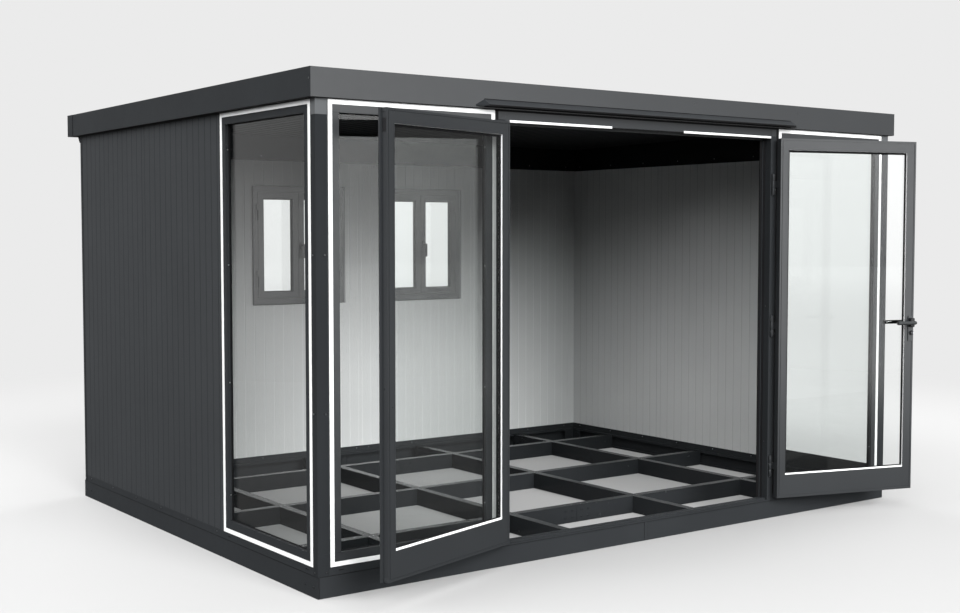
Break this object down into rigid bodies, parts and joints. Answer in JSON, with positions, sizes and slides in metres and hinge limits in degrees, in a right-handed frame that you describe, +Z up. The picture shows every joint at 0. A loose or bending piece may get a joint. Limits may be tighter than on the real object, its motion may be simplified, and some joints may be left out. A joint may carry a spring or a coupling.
{
  "type": "garden office pod",
  "caption": "Flat-roofed metal garden office pod with full-height fixed glazing, open glazed double doors, rear casement windows and an open steel floor frame.",
  "frame": {"origin": "on the ground, under the middle of the floor's middle beam", "axes": "+X to the right along the front wall, +Y from the front wall to the back wall, +Z up"},
  "size_m": [4.116, 3.4831, 2.4],
  "materials": {
    "anthracite_steel": "satin powder coat",
    "light_panel": "satin coil coat",
    "white_trim": "satin",
    "clear_glass": "clear double glazing",
    "black_metal": "satin black"
  },
  "bodies": {
    "pod": {"base_rail_front": "anthracite_steel", "base_rail_back": "anthracite_steel", "base_rail_left": "anthracite_steel", "base_rail_right": "anthracite_steel", "floor_beams": "anthracite_steel", "floor_joists": "anthracite_steel", "front_sills": "anthracite_steel", "door_threshold": "anthracite_steel", "corner_post_front_left": "anthracite_steel", "corner_post_front_right": "anthracite_steel", "corner_post_back_left": "anthracite_steel", "corner_post_back_right": "anthracite_steel", "door_jamb_left": "anthracite_steel", "door_jamb_right": "anthracite_steel", "door_header": "anthracite_steel", "door_canopy": "anthracite_steel", "left_wall_panels": "anthracite_steel", "right_wall_panels": "anthracite_steel", "back_wall_panels_left": "light_panel", "back_wall_panels_right": "light_panel", "wall_head_track": "anthracite_steel", "front_glazing_frames": "anthracite_steel", "side_glazing_frames": "anthracite_steel", "front_glazing_glass": "clear_glass", "side_glazing_glass": "clear_glass", "front_glazing_trims": "white_trim", "side_glazing_trims": "white_trim", "back_window_frames": "anthracite_steel", "back_window_sashes": "anthracite_steel", "back_window_glass": "clear_glass", "back_window_handles": "anthracite_steel", "roof_panel": "anthracite_steel", "ceiling_panel": "anthracite_steel", "fascia_front": "anthracite_steel", "fascia_left": "anthracite_steel", "fascia_right": "anthracite_steel", "rear_gutter": "anthracite_steel", "left_door_hinges": "black_metal", "right_door_hinges": "black_metal"},
    "left_door": {"left_door_frame": "anthracite_steel", "left_door_glass": "clear_glass"},
    "right_door": {"right_door_frame": "anthracite_steel", "right_door_glass": "clear_glass", "right_door_lock": "black_metal"},
    "lever": {"door_lever": "black_metal"}
  },
  "joints": [
    {"name": "left_door_hinge", "type": "hinge", "parent": "pod", "child": "left_door", "pos_m": [-0.97, -1.564, 1.2], "axis": [0, 0, 1], "range_deg": [-8, 162]},
    {"name": "right_door_hinge", "type": "hinge", "parent": "pod", "child": "right_door", "pos_m": [0.97, -1.564, 1.2], "axis": [0, 0, 1], "range_deg": [-164, 6]},
    {"name": "lever_turn", "type": "hinge", "parent": "right_door", "child": "lever", "pos_m": [1.85529, -1.84698, 1.128], "axis": [-0.2756, -0.9613, 0], "range_deg": [0, 42], "stiffness_Nm_per_rad": 2.5, "springref_deg": -20.05}
  ]
}
